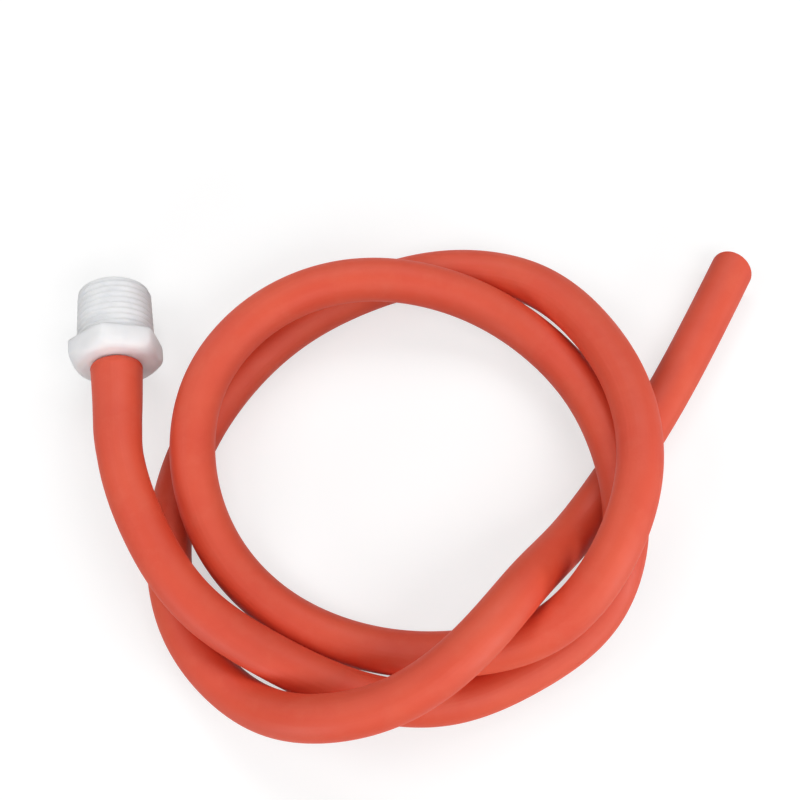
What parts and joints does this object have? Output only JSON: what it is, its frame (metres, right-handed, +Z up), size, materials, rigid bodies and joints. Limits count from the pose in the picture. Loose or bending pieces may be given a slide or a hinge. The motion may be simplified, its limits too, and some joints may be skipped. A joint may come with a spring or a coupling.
{
  "type": "rubber hose with threaded adapter",
  "caption": "Rubber hose lying in loose loops, one end pushed onto the barb of a white plastic adapter with a hexagon and a tapered male pipe thread.",
  "frame": {"origin": "middle of the footprint of the whole object, on the plane that it lies on", "axes": "+Z up, +Y the way the adapter's thread points seen from above, +X towards the hose's bare end"},
  "size_m": [0.1948, 0.1339, 0.0367],
  "materials": {
    "red_rubber": "smooth extruded rubber with a soft satin sheen",
    "white_nylon": "moulded natural white plastic, satin"
  },
  "bodies": {
    "root": {"rubber_hose": "red_rubber", "threaded_adapter": "white_nylon"}
  },
  "joints": []
}
